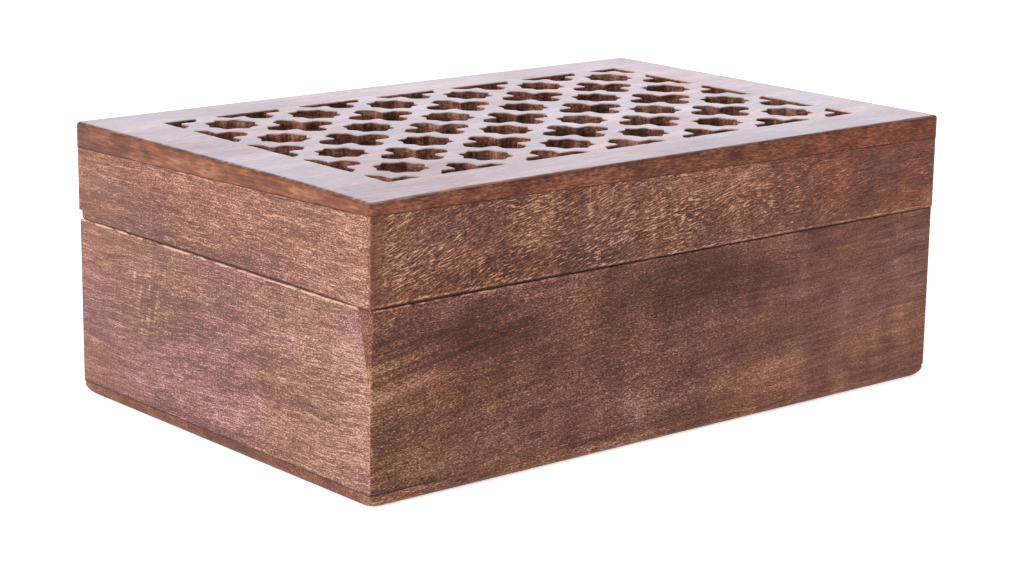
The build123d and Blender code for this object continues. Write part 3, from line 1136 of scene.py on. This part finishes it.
LID_FRONT = Board(
    "x", "lid", SHADED_FRONT_TONES, 3.0, weights(0.4, 0.45, 0.5, 0.3, 0.4, 1.3, 1.7), 0.48, slope=0.17, ripple=0.8,
    short=1.3, calm=0.55, dashes=0.6, pores=0.25, blush=0.5, ember=0.8, patches=LID_FRONT_PATCHES,
)
LID_SIDE = Board(
    "y", "lid", LIT_SIDE_TONES, 11.0, weights(0.5, 0.1, 0.25, 0.5, 0.75, 1.4, 2.5), 0.4, sway=4.0, calm=0.68,
    corner=0.1, tints=LID_SIDE_TINTS, patches=LID_SIDE_PATCHES,
)
BASE_FRONT = Board(
    "x", "base", SHADED_FRONT_TONES, 23.0, weights(0.35, 0.46, 0.4, 0.4, 0.4, 0.7, 1.8), 0.455, slope=0.09,
    ripple=0.4, short=2.0, dashes=0.16, pores=0.12, cracks=BASE_FRONT_CRACKS, streaks=BASE_FRONT_STREAKS,
    tints=BASE_FRONT_TINTS, patches=BASE_FRONT_PATCHES,
)
BASE_SIDE = Board(
    "y", "base", LIT_SIDE_TONES, 31.0, weights(0.6, 0.1, 0.25, 0.5, 0.75, 1.3, 2.4), 0.475, slope=-0.03,
    sway=7.0, calm=0.68, corner=0.1, blush=0.78, glow=0.25, edge_wear_and_highlight=0.8, scuffs=0.5, patches=BASE_SIDE_PATCHES,
)
BOTTOM = Board(
    "x", "floor", SHADED_FRONT_TONES, 23.0, weights(0.45, 0.4, 0.4, 0.5, 0.45, 0.7, 1.5), 0.47, slope=0.03,
    short=2.0, pores=0.1, blush=0.5, glow=0.4, patches=BOTTOM_PATCHES,
)
# The side walls get the lit copy of the wood, the front and back walls the shaded copy
materials = {
    "lid_front": wall_wood("lid_front_wood", LID_FRONT),
    "lid_side": wall_wood("lid_side_wood", LID_SIDE),
    "base_front": wall_wood("base_front_wood", BASE_FRONT),
    "base_side": wall_wood("base_side_wood", BASE_SIDE),
    "bottom": wall_wood("bottom_wood", BOTTOM),
    "panel": panel_wood("jali_panel_wood", 51.0, 0.5),
    "panel_edge": panel_wood("jali_panel_edge_wood", 51.0, 0.12),
    "brass": metal("tarnished_brass", (0.72, 0.5, 0.22), 0.38, 61.0),
    "screws": metal("screw_brass", (0.78, 0.57, 0.29), 0.3, 81.0),
    "steel": metal("drawn_steel", (0.55, 0.55, 0.56), 0.32, 71.0),
}


def dress(piece, *names):
    """Gives a piece its materials, in the order of its mesh's slots."""
    if piece.data.materials:
        piece.data.materials.clear()
    for name in names:
        piece.data.materials.append(materials[name])


dress(panel, "panel", "panel_edge")
dress(bottom, "bottom")
dress(base_walls["front"], "base_front", "base_front")
# The worn facets face the front, so they get the front's shaded copy of the wood
dress(base_walls["left"], "base_side", "base_front")
for screw in screws:
    dress(screw, "screws")
node_materials = {"base_bottom_board": "bottom", "lock_channel_plug": "base_front", "jali_top_panel": "panel"}
for part in ("base", "lid"):
    for side, face in (("front", "front"), ("back", "front"), ("left", "side"), ("right", "side")):
        node_materials[f"{part}_{side}_board"] = f"{part}_{face}"
for side, wall in lid_walls.items():
    dress(wall, node_materials[f"lid_{side}_board"])
for name, node in nodes.items():
    dress(node, node_materials.get(name, "steel" if name.endswith("_pin") else "brass"))

# Stage: a pale floor, and in metres a soft light from the left and a bright card behind the box

FLOOR_REACH = 6000.0
FLOOR_COLOUR = (0.95, 0.95, 0.95, 1)
# The floor is matt and glows a little, so that it comes out white
FLOOR_LOOK = {
    "Base Color": FLOOR_COLOUR,
    "Roughness": 0.9,
    "Specular IOR Level": 0.0,
    "Emission Color": FLOOR_COLOUR,
    "Emission Strength": 0.6,
}
WORLD_STRENGTH = 0.72


def stage_floor():
    """The surface that the box stands on."""
    data = new_mesh("floor", [(x * FLOOR_REACH, y * FLOOR_REACH, 0) for x, y in CORNERS], [(0, 1, 2, 3)])
    plane = bpy.data.objects.new("floor", data)
    scene.collection.objects.link(plane)
    data.materials.append(new_material("floor", FLOOR_LOOK))


def area_light(name, place, target, size, power, colour):
    """A rectangular light that faces a target."""
    data = bpy.data.lights.new(name, "AREA")
    data.shape = "RECTANGLE"
    data.size, data.size_y = size
    data.energy = power
    data.color = colour
    light = bpy.data.objects.new(name, data)
    light.location = place
    light.rotation_euler = (Vector(target) - Vector(place)).to_track_quat("-Z", "Y").to_euler()
    scene.collection.objects.link(light)


stage_floor()
area_light("key_left", (-1.5, 0.2, 0.6), (0, 0, 0.04), (1.6, 0.9), 23.5, (1.0, 0.97, 0.95))
area_light("back_card", (1.3, 1.6, 0.5), (0, 0, 0.09), (2.6, 1.0), 14.4, (0.87, 0.83, 1.0))

world = bpy.data.worlds.new("studio")
world.use_nodes = True
background = world.node_tree.nodes["Background"].inputs
background["Color"].default_value = (1, 1, 1, 1)
background["Strength"].default_value = WORLD_STRENGTH
scene.world = world

# Camera, from the box's edges in the photograph

AZIMUTH, ELEVATION, ROLL = math.radians(-40.278), math.radians(13.615), math.radians(0.777)
CAMERA_DISTANCE = 0.84057
CAMERA_TARGET = Vector((0.00563, 0.00962, 0.02982))
FOCAL_LENGTH = 92.54

back = Vector((
    math.sin(AZIMUTH) * math.cos(ELEVATION), -math.cos(AZIMUTH) * math.cos(ELEVATION), math.sin(ELEVATION)
))
level_right = Vector((math.cos(AZIMUTH), math.sin(AZIMUTH), 0))
level_up = back.cross(level_right)
right = level_right * math.cos(ROLL) + level_up * math.sin(ROLL)
up = level_up * math.cos(ROLL) - level_right * math.sin(ROLL)
camera_data = bpy.data.cameras.new("camera")
camera_data.sensor_width = 36.0
camera_data.lens = FOCAL_LENGTH
camera_data.clip_start = 0.01
camera_data.clip_end = 50.0
camera = bpy.data.objects.new("camera", camera_data)
turn = Matrix((right, up, back)).transposed().to_4x4()
camera.matrix_world = Matrix.Translation(CAMERA_TARGET + back * CAMERA_DISTANCE) @ turn
scene.collection.objects.link(camera)
scene.camera = camera
scene.view_settings.view_transform = "Standard"
scene.view_settings.look = "None"
